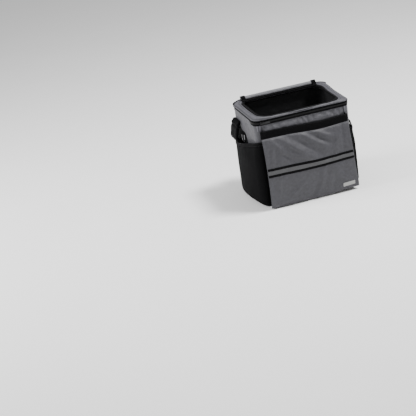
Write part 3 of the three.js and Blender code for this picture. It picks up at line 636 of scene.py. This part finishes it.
def outline_tube(name, ring_at, width, height, z, sides=10):
    """A closed tube along an outline that ring_at gives for a distance in and a height."""
    rows = []
    for k in range(sides):
        turn = TAU * k / sides
        ring = ring_at(width / 2 * (1 - math.cos(turn)), z + height / 2 * math.sin(turn))
        rows.append([tuple(p) for p in ring])
    return grid_piece(name, rows, around=True, tube=True)


def binding_ring(inset, z):
    return [p - Vector((0, 0, 0.75 * lid_dip(p.x, p.y))) for p in lid_inner(inset - 8.5, z)]


edge_piping = outline_tube("edge_piping", lid_outer, width=4.8, height=4.8, z=337.7)
finish_piece(edge_piping, "lid", ["lid_piping"], piping_cloth)
window_binding = outline_tube("window_binding", binding_ring, width=13.0, height=7.4, z=346.9, sides=12)
finish_piece(window_binding, "lid", ["opening_binding"], binding_cloth)


# Thin piping along the lid's rear top edge
PIPING_IN, PIPING_Z, PIPING_SIDE, PIPING_RISE, PIPING_SIDES = 1.4, 348.6, 3.0, 3.2, 8


def piping_arc(hand):
    radius = REAR_R + OVERHANG
    arc = []
    for turn in spread(0.1, math.pi / 2, 8):
        x = hand * (LID_W - PIPING_IN - radius + radius * math.cos(turn))
        y = LID_D - PIPING_IN - radius + radius * math.sin(turn)
        arc.append((x, y, PIPING_Z - 0.7 * lid_dip(x, y)))
    return arc


def rear_piping():
    """The piping as a tube along its line. The last step of its left arc is cut more finely than the rest."""
    left, right = piping_arc(-1), piping_arc(1)[::-1]
    line = [Vector(p) for p in joined(left[:-1], left[-1:] + right)]
    rows = []
    for k in range(PIPING_SIDES):
        turn = TAU * k / PIPING_SIDES
        row = []
        for before, p, after in zip(line[:1] + line, line, line[1:] + line[-1:]):
            way = (after - before).normalized()
            aside = Vector((way.y, -way.x, 0)) * PIPING_SIDE * math.cos(turn)
            row.append(tuple(p + aside + Vector((0, 0, PIPING_RISE * math.sin(turn)))))
        rows.append(row)
    return grid_piece("rear_piping", rows, tube=True)


finish_piece(rear_piping(), "lid", None, black_cloth)


# Zip tapes round the front, and the flaps over the zip along the sides from where the tapes stop
WRAP = 1.11
TAPE_OUT, FLAP_OUT = 0.8, 3.4
LOWER_TAPE, UPPER_TAPE, FLAP = (320.0, 327.1), (332.9, 335.0), (327.2, 335.0)


def front_line(z, out):
    runs = spread(0, 1, 8) + spread(1, WRAP, 2)[1:]
    return joined([side_point(-1, run, z, out) for run in reversed(runs)],
                  [side_point(1, run, z, out) for run in runs])


def zip_tape(name, heights, body, replaced):
    low, high = heights
    rows = []
    for z in spread(low, high, 4):
        sag = 0.35 * math.sin(math.pi * (z - low) / (high - low))
        rows.append([(x, y, z + 0.3 * wobble(x, y, 0, 30)) for x, y, z in front_line(z, TAPE_OUT + sag)])
    piece = finish_piece(grid_piece(name, rows, thick=0.9), body, [replaced], tape_cloth)
    declare(piece, 0.42)


zip_tape("lower_zip_tape", LOWER_TAPE, "basket", "zip_tape_lower")
zip_tape("upper_zip_tape", UPPER_TAPE, "lid", "zip_tape_upper")


def zip_flap(hand, side):
    rows = []
    for z in spread(*FLAP, 4):
        rows.append([side_point(hand, run, z, FLAP_OUT + 0.3 * wobble(run * 60, z, 0, 20))
                     for run in spread(WRAP, 2, 20)])
    return grid_piece(side + "_flap", rows, thick=0.8)


for hand, side in HANDS:
    flap = finish_piece(zip_flap(hand, side), "lid", [side + "_zip_flap"], gray_cloth)
    declare(flap, 0.185)


# Front pocket. Each crease has a middle x and z, an angle in degrees, a length, a width and a depth.
CREASES = (
    (12, 244, -37, 62, 9, 3.4), (-14, 222, -37, 66, 9, -2.6), (-46, 214, -38, 72, 10, 3.0),
    (48, 236, -33, 60, 12, -2.4), (66, 250, -30, 46, 8, 2.6), (-118, 238, -55, 34, 7, 2.0),
    (-142, 200, 82, 60, 6, 1.6), (-90, 190, -40, 44, 9, -1.6), (112, 205, 74, 52, 9, 1.8),
    (140, 220, 84, 60, 6, -1.6), (-20, 178, -20, 90, 9, 1.8), (-60, 62, 40, 50, 9, 2.2),
    (36, 84, 72, 46, 10, 2.8), (8, 44, 62, 44, 11, -2.2), (66, 60, 80, 42, 9, 1.8), (124, 66, -44, 40, 8, 2.0),
    (-132, 84, 84, 50, 7, 1.8), (-100, 22, 12, 50, 7, 1.6),
)
CREASE_GAIN_HIGH, CREASE_GAIN_LOW, CREASE_CHANGE = 2.4, 1.7, 150.0
POCKET_FOOT, STRIPE_Z, STRIPE_IN = 3.0, 143.0, 2.0
BAND_HALF, BAND_OUT = 172.0, 11.0


def pocket_reach(z):
    """How far the pocket's face stands off the front wall."""
    share = clamp(z / FACE_TOP)
    return lerp(33.0, 12.0, share) + 16.0 * math.sin(math.pi * share) ** 0.6


def pocket_half(z):
    return lerp(173.0, 170.0, z / POCKET_TOP)


def pocket_end(hand, z):
    """The pocket's side edge. Its right foot corner is drawn out a little."""
    flare = 6.5 * (1 - smooth(z / 120)) if hand > 0 else 0.0
    return hand * (pocket_half(z) + flare)


def crease_depth(x, z):
    total = 0.0
    for middle_x, middle_z, angle, length, width, depth in CREASES:
        c, s = math.cos(math.radians(angle)), math.sin(math.radians(angle))
        along = (x - middle_x) * c + (z - middle_z) * s
        aside = (z - middle_z) * c - (x - middle_x) * s
        total += depth * bell(along, length) * bell(aside, width)
    return total


def face_out(x, z):
    """The face's crown, creases and small folds, which fade out at its seams."""
    half = pocket_half(z)
    crown = 4.0 * (1 - (x / half) ** 2) * math.sin(math.pi * clamp(z / FACE_TOP)) ** 0.7
    gain = CREASE_GAIN_HIGH if z > CREASE_CHANGE else CREASE_GAIN_LOW
    folds = gain * crease_depth(x, z) + 1.8 * wobble(x, 0, z, 44) + 0.5 * wobble(x, 7, z, 19)
    return crown + folds * smooth((half - abs(x)) / 16) * smooth(z / 14) * smooth((FACE_TOP - z) / 8)


def foot_lift(x, z):
    """The pocket's foot is drawn up a little toward its right corner."""
    return 7.0 * smooth((x - 50) / 125) * (1 - smooth(z / 80))


def top_sag(x, z):
    """The pocket's mouth hangs a little lower right of its middle."""
    return (4.0 * clamp((x + BAND_HALF) / (2 * BAND_HALF)) + 7.0 * bell(x - 58, 88)) * smooth((z - 165) / 100)


def stripe_sag(x, z):
    """The stripes hang a little in the middle and draw together toward the right."""
    above = z - STRIPE_Z
    sag = 3.2 * bell(x - 20, 110) * math.exp(-((above / 25) ** 2) / 6)
    return sag + 0.16 * above * clamp((x + 60) / 200) * bell(above, 25)


def face_point(x, z, out):
    y = -(half_d(z) + pocket_reach(z) + face_out(x, z) + out)
    return (x, y, z + foot_lift(x, z) - top_sag(x, z) - stripe_sag(x, z))


def face_sheet(name, heights, edges, out, rows, columns, thick):
    """A sheet on the pocket's face between two heights. edges gives its two ends at a height."""
    grid = []
    for z in spread(*heights, rows):
        left, right = edges(z)
        grid.append([face_point(lerp(left, right, s), z, out) for s in spread(0, 1, columns)])
    return grid_piece(name, grid, thick=thick)


def panel_edges(z):
    return pocket_end(-1, z), pocket_end(1, z)


def stripe_edges(z):
    return STRIPE_IN - pocket_half(z), pocket_half(z) - STRIPE_IN


def label_edges(z):
    return pocket_half(z) - 58, pocket_half(z) - 10


panel = face_sheet("pocket_panel", (POCKET_FOOT, FACE_TOP), panel_edges, out=-0.8, rows=56, columns=72,
                   thick=1.5)
finish_piece(panel, "basket", ["pocket_face"], gray_pocket)
declare(panel, 0.345)
for name, heights, slot, material in (("stripe_upper", (151, 160), "webbing", webbing),
                                      ("reflective_strip", (135.7, 150.7), "reflector", reflector_cloth),
                                      ("stripe_lower", (126.4, 135.4), "webbing", webbing)):
    stripe = face_sheet("pocket_" + name, heights, stripe_edges, out=0.7, rows=4, columns=72, thick=0.7)
    finish_piece(stripe, "basket", [name], material)
    declare(stripe, 0.34)
label = face_sheet("bare_label", (18, 35), label_edges, out=0.8, rows=4, columns=10, thick=0.8)
finish_piece(label, "basket", ["blank_label"], label_cloth)
declare(label, 0.048)


def pocket_band():
    rows = []
    for z in spread(BAND_LOW, POCKET_TOP, 6):
        gape = 1.6 * (z - BAND_LOW) / (POCKET_TOP - BAND_LOW)
        row = []
        for x in spread(-BAND_HALF, BAND_HALF, 60):
            out = gape * math.sin(math.pi * (x + BAND_HALF) / (2 * BAND_HALF)) + 0.5 * wobble(x, 0, z, 40)
            row.append((x, -(half_d(z) + BAND_OUT + out), z - top_sag(x, z)))
        rows.append(row)
    return grid_piece("pocket_band", rows, thick=1.8)


band = finish_piece(pocket_band(), "basket", ["pocket_webbing"], band_webbing)
declare(band, 0.344)


# Narrow tapes at the front corners, from the zip down to the pocket's band, as run and distance out
CORNER_TAPE = ((-0.04, 0.6), (0.0, 1.8), (0.12, 2.4), (0.26, 2.4), (0.38, 1.8), (0.42, 0.6))

for hand, side in HANDS:
    rows = [[side_point(hand, run, z, out) for z in spread(299.5, 321, 8)] for run, out in CORNER_TAPE]
    corner_tape = grid_piece(side + "_corner_tape", rows, thick=1.0)
    finish_piece(corner_tape, "basket", None, gray_tape)


# Gussets of the pocket
GUSSET_ROOT, GUSSET_IN, FOOT_GUSSET_Z = 0.4, 1.9, 3.6


def gusset(hand, side):
    rows = []
    for z in spread(POCKET_FOOT, FACE_TOP, 40) + [276.0, 288.0, 299.5]:
        deep = pocket_reach(z) - GUSSET_IN if z <= FACE_TOP else 9.7
        root = half_w(z) - FRONT_R - 0.6
        front = abs(pocket_end(hand, z)) - 2.6
        row = []
        for s in spread(0, 1, 6):
            belly = 1.6 * math.sin(math.pi * clamp(z / FACE_TOP)) + 0.6 * wobble(s * 30, z, hand * 4, 26)
            x = hand * (lerp(root, front, s) + belly * math.sin(math.pi * s))
            y = -(half_d(z) + lerp(GUSSET_ROOT, deep, s))
            row.append((x, y, z + s * (foot_lift(x, z) - top_sag(x, z))))
        rows.append(row)
    return grid_piece(side + "_gusset", rows, thick=1.0)


def foot_gusset():
    z = FOOT_GUSSET_Z
    rows = []
    for s in spread(0, 1, 4):
        half = lerp(half_w(z) - FRONT_R - 1.5, pocket_half(z) - 3.5, s)
        y = -(half_d(z) + lerp(GUSSET_ROOT, pocket_reach(z) - GUSSET_IN, s))
        hang = z - 0.5 * math.sin(math.pi * s)
        rows.append([(x, y, hang + s * foot_lift(x, z)) for x in spread(-half, half, 40)])
    return grid_piece("foot_gusset", rows, thick=1.0)


for hand, side in HANDS:
    piece = finish_piece(gusset(hand, side), "basket", ["pocket_gusset_" + side], black_cloth)
    declare(piece, 0.045)
foot = finish_piece(foot_gusset(), "basket", ["pocket_gusset_bottom"], black_cloth)
declare(foot, 0.34)


# Mesh pockets with gathered elastic hems. They run from just before the front corner's seam into the
# rear corner. The right one is deeper and hangs lower at its front end.
MESH_FROM, MESH_TO, MESH_FOOT = 0.04, 2 + 2 / 3, 4.0
MESH_RUNS = spread(MESH_FROM, 1, 12) + spread(1, 2, 22)[1:] + spread(2, MESH_TO, 8)[1:]
MESH_DEEP = {-1: 32.0, 1: 36.0}
MESH_DRAWN = {-1: 0.5, 1: 0.25}
HEM_DROOP = {-1: 0.0, 1: 22.0}


def mesh_share(run, z):
    """How far back along its pocket a run lies, from 0 to 1."""
    front, here, rear = (side_point(1, r, z, 0)[1] for r in (MESH_FROM, run, MESH_TO))
    return (here - front) / (rear - front)


def mesh_bow(run, z):
    return math.sqrt(max(0.0, math.sin(math.pi * mesh_share(run, z))))


def mesh_out(hand, run, z, share):
    """How far the mesh stands off the wall. The elastic draws the mouth in at the front."""
    low = math.sin(math.pi / 2 * min(1.0, share / 0.1)) ** 0.6
    drawn = 1 - MESH_DRAWN[hand] * smooth((share - 0.75) / 0.25) * (1 - smooth(mesh_share(run, z) / 0.45))
    return 0.3 + MESH_DEEP[hand] * mesh_bow(run, z) * low * drawn * (1 - 0.2 * share ** 3)


def hem_z(hand, run):
    back = mesh_share(run, HEM_FRONT)
    return lerp(HEM_FRONT, HEM_REAR, back) - HEM_DROOP[hand] * (1 - smooth(back / 0.4))


def mesh_gather(run, share):
    return 0.7 * math.sin(run * 34 + 1.5 * math.sin(run * 9)) * smooth((share - 0.55) / 0.45)


def mesh_pocket(hand, side):
    rows = []
    for share in spread(0, 0.1, 6) + spread(0.1, 1, 24)[1:]:
        row = []
        for run in MESH_RUNS:
            z = lerp(MESH_FOOT, hem_z(hand, run) - HEM_H - 0.3, share)
            folds = mesh_gather(run, share) + 0.9 * wobble(run * 50, z, hand * 3, 46)
            row.append(side_point(hand, run, z, mesh_out(hand, run, z, share) + 0.7 + mesh_bow(run, z) * folds))
        rows.append(row)
    return grid_piece(side + "_mesh", rows, thick=1.0)


def mesh_hem(hand, side):
    rows = []
    for below in spread(-HEM_H, 0, 5):
        swell = 1.0 + 0.9 * math.sin(math.pi * (below + HEM_H) / HEM_H)
        row = []
        for run in MESH_RUNS:
            z = hem_z(hand, run) + below
            out = mesh_out(hand, run, z, 1.0) + mesh_bow(run, z) * mesh_gather(run, 1.0) + swell
            row.append(side_point(hand, run, z, out))
        rows.append(row)
    return grid_piece(side + "_hem", rows, thick=1.9)


for hand, side in HANDS:
    hem = finish_piece(mesh_hem(hand, side), "basket", [side + "_pocket_hem"], hem_cloth)
    net = finish_piece(mesh_pocket(hand, side), "basket", [side + "_mesh_pocket"], mesh_cloth)
    declare(net, 0.30)


# Flat strips: ring tabs, loops, straps and ties follow a line in a plane and have a width across it
FINE_LINE = 40


def strip(name, line, width, place, thick, steps=4, closed=False):
    """A strip whose place function takes the line's two numbers and the distance across it."""
    rows = [[place(a, b, s * width / 2) for a, b in line] for s in spread(-1, 1, steps)]
    return grid_piece(name, rows, thick=thick, around=closed, levels=2 if len(line) < FINE_LINE else 1)


def finish_strip(piece, material, replaced, width, body="basket"):
    finish_piece(piece, body, [replaced], material)
    declare(piece, width)


def curve_points(*segments, steps=4):
    """Points of a path made of straight (2) and quadratic (3) segments."""
    points = []
    for segment in segments:
        corners = [Vector(q) for q in segment]
        for t in spread(0, 1, steps):
            level = corners
            while len(level) > 1:
                level = [a.lerp(b, t) for a, b in zip(level, level[1:])]
            if not points or (level[0] - points[-1]).length > 0.05:
                points.append(level[0])
    return [tuple(p) for p in points]


def loop_line(top, bottom, reach, face, tail, root, lean=0.0):
    """A loop's side view: sewn down at top and bottom, with a face that stands out by reach and leans."""
    middle, half = (top + bottom) / 2, face / 2
    turn = min(half, (top - bottom) / 2 - half) / 2
    low = reach + lean
    upper, lower = middle + half, middle - half
    leave_top, meet_face = (root + turn, top - turn / 2), (reach - turn, upper + turn / 2)
    leave_face, meet_root = (low - turn, lower - turn / 2), (root + turn, bottom + turn / 2)
    return curve_points(
        ((root, top + tail), (root, top + turn)),
        ((root, top + turn), (root, top), leave_top),
        (leave_top, meet_face),
        (meet_face, (reach, upper), (reach, upper - turn)),
        ((reach, upper - turn), (low, lower + turn)),
        ((low, lower + turn), (low, lower), leave_face),
        (leave_face, meet_root),
        (meet_root, (root, bottom), (root, bottom - turn)),
        ((root, bottom - turn), (root, bottom - tail)),
    )


# D-ring tabs, loop patches and carrying loops on both sides
TAB_START, TAB_R, TAB_WIDTH = [(2.1, 263), (2.1, 261), (2.3, 258)], 3.1, 30
PATCH_OUT, PATCH_REAR, PATCH_WIDTH = 0.75, 115.0, 0.064
PATCH_FRONT = ((294, 39), (286, 39), (262.6, 37), (261.6, 2), (256, -4), (248, -7), (236, -11), (222, -14),
               (212, -14), (210.6, 36), (202, 39), (193, 39))
LOOP_LINE = loop_line(top=285, bottom=208, reach=18.7, face=46, tail=6, root=7.0, lean=6.0)
LOOP_WIDTH, LOOP_THICK = 72, 12


def on_side(hand, y):
    return lambda out, z, across: (hand * (half_w(z) + out), y + across, z)


def ring_tab(hand, side):
    turns = spread(math.pi / 4, -math.pi, 14)
    arc = [(RING_OUT + TAB_R * math.cos(t), RING_Z + TAB_R * math.sin(t)) for t in turns]
    return strip(side + "_tab", TAB_START + arc, TAB_WIDTH, on_side(hand, RING_Y), thick=1.3)


def loop_patch(hand, side):
    rows = []
    for z, front in PATCH_FRONT:
        rows.append([(hand * (half_w(z) + PATCH_OUT), lerp(front, PATCH_REAR, s), z) for s in spread(0, 1, 12)])
    return grid_piece(side + "_patch", rows, thick=0.7, levels=0)


for hand, side in HANDS:
    finish_strip(ring_tab(hand, side), webbing, side + "_ring_tab", TAB_WIDTH * MM)
    patch = finish_piece(loop_patch(hand, side), "basket", [side + "_loop_patch"], black_cloth)
    declare(patch, PATCH_WIDTH)
    loop = strip(side + "_loop", LOOP_LINE, LOOP_WIDTH, on_side(hand, LOOP_Y), LOOP_THICK, steps=8)
    finish_strip(loop, webbing, side + "_carry_loop", LOOP_WIDTH * MM)


# Back straps
BAR_LINE = loop_line(top=306, bottom=244, reach=46, face=34, tail=10, root=1.5)
TUBE_LINE = loop_line(top=34, bottom=-34, reach=48, face=38, tail=10, root=1.5)
BAR_WIDTH, TUBE_WIDTH, STRAP_THICK = 38, 25, 2.3


def on_back(x):
    return lambda out, z, across: (x + across, half_d(z) + out, z)


def on_tube(out, x, across):
    z = TUBE_STRAP_Z + across
    return (x, half_d(z) + out, z)


for hand, side in HANDS:
    strap = strip(side + "_bar_strap", BAR_LINE, BAR_WIDTH, on_back(hand * BAR_STRAP_X), STRAP_THICK)
    finish_strip(strap, webbing, "bar_strap_" + side, BAR_WIDTH * MM)
low_strap = strip("low_strap", TUBE_LINE, TUBE_WIDTH, on_tube, STRAP_THICK)
finish_strip(low_strap, webbing, "tube_strap", TUBE_WIDTH * MM)


# Rolled window cover and its ties
ROLL_Y, ROLL_Z, ROLL_HALF = 119.5, 357.2, 152.0
ROLL_TURNS, ROLL_CORE, ROLL_PITCH = 6.4, 1.8, 0.84
TIE_X, TIE_R, TIE_WIDTH, TAIL_WIDTH = 144.0, 8.8, 18, 15
TAIL_LINE = curve_points(((ROLL_Y - 9.4, ROLL_Z - 1.5), (ROLL_Y - 10.0, 352.6), (ROLL_Y - 14, 352.2)),
                         ((ROLL_Y - 14, 352.2), (ROLL_Y - 23, 351.6)))


def roll_section(radius, turn):
    """A point y, z of the roll, which lies squashed with its flat side up and forward."""
    high, deep = 1.12 * radius * math.sin(turn), 0.80 * radius * math.cos(turn)
    return ROLL_Y + 0.6 * high + 0.8 * deep, ROLL_Z + 0.8 * high - 0.6 * deep


def window_cover():
    rows = []
    for x in spread(-ROLL_HALF, ROLL_HALF, 44):
        squeeze = 1 - 0.10 * bell(abs(x) - TIE_X, 13)
        row = []
        for t in spread(0, ROLL_TURNS, int(ROLL_TURNS * 18)):
            turn = TAU * t + math.pi / 2
            c, s = 40 * math.cos(turn), 40 * math.sin(turn)
            radius = (ROLL_CORE + ROLL_PITCH * t) * squeeze
            radius *= (1 + 0.06 * wobble(x, c, s, 38)) * (1 + 0.06 * wobble(2 * x, c, s, 15))
            row.append((x, *roll_section(radius, turn)))
        rows.append(row)
    return grid_piece("window_cover", rows, thick=0.6)


def across_lid(x):
    return lambda y, z, across: (x + across, y, z)


cover = finish_piece(window_cover(), "lid", ["window_roll"], roll_cloth)
declare(cover, 2 * ROLL_HALF * MM)
for hand, side in HANDS:
    circle = [roll_section(TIE_R, t) for t in spread(0, TAU, 28)[:-1]]
    tie = strip(side + "_tie", circle, TIE_WIDTH, across_lid(hand * TIE_X), thick=1.3, closed=True)
    finish_strip(tie, webbing, "roll_tie_" + side, TIE_WIDTH * MM, body="lid")
    tail = strip(side + "_tie_end", TAIL_LINE, TAIL_WIDTH, across_lid(hand * TIE_X), thick=1.2)
    finish_piece(tail, "lid", None, webbing)
    declare(tail, TAIL_WIDTH * MM)


# Hinge cloth from the back wall up to the lid's rear edge, as distance out and height
HINGE_LINE = ((0.8, 320), (0.8, 325), (0.9, 329), (1.6, 332), (2.8, 334), (3.4, 335.5), (3.6, 337))
HINGE_HALF = 154.0

rows = [[(x, half_d(z) + out, z) for x in spread(-HINGE_HALF, HINGE_HALF, 40)] for out, z in HINGE_LINE]
hinge = grid_piece("hinge_cloth", rows, thick=0.9)
finish_piece(hinge, None, ["hinge_tape"], black_cloth)
declare(hinge, 2 * HINGE_HALF * MM)
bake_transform(hinge)

# Solids that stay, with their own finishes and small rounded edges
KEPT = (
    (zip_plastic, ("zip_teeth_upper", "zip_teeth_lower")),
    (black_metal, ("zip_slider", "slider_bail", "zip_pull")),
    (steel, ("left_d_ring", "right_d_ring")),
    (gloss_plastic, ("bar_glide_left", "bar_glide_right", "tube_glide")),
    (board_plastic, ("base_board", "left_board", "right_board", "front_board", "back_board")),
)
EDGE_ROUND = 0.0003


def dress(node, material):
    for slot in node.material_slots:
        slot.material = material
    if not node.material_slots:
        node.data.materials.append(material)
    rounded = node.modifiers.new("rounded", "BEVEL")
    rounded.width, rounded.segments, rounded.limit_method = EDGE_ROUND, 2, "ANGLE"


for material, names in KEPT:
    for name in names:
        dress(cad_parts[name], material)

# Floor and light, in metres and watts
FLOOR_SIZE, FLOOR_Z = 30, -0.0005
FLOOR_TONES = ((0.90, 0.90, 0.90, 1), (0.94, 0.94, 0.94, 1))
WORLD_STRENGTH = 0.5
LAMPS = (("key", (-2.6, 0.3, 1.7), 1.2, 88), ("top", (1.2, -0.5, 2.9), 0.7, 155),
         ("fill", (-1.2, -2.8, 1.2), 1.6, 8))
AIM = Vector((0, 0, 0.2))


def add_floor():
    bpy.ops.mesh.primitive_plane_add(size=FLOOR_SIZE, location=(0, 0, FLOOR_Z))
    floor = bpy.context.object
    floor.name = "floor"
    n = Nodes("floor")
    n.link(n.mix(n.noise(3.0), *FLOOR_TONES), n.shader.inputs["Base Color"])
    n.shader.inputs["Roughness"].default_value = 0.9
    floor.data.materials.append(n.material)


def add_light():
    world = bpy.data.worlds.new("studio")
    world.use_nodes = True
    back = world.node_tree.nodes["Background"]
    back.inputs["Color"].default_value = (1.0, 1.0, 1.0, 1.0)
    back.inputs["Strength"].default_value = WORLD_STRENGTH
    bpy.context.scene.world = world
    for name, place, size, power in LAMPS:
        light = bpy.data.lights.new(name, "AREA")
        light.energy, light.size = power, size
        lamp = bpy.data.objects.new(name, light)
        lamp.location = place
        lamp.rotation_euler = (AIM - Vector(place)).to_track_quat("-Z", "Y").to_euler()
        bpy.context.collection.objects.link(lamp)


add_floor()
add_light()
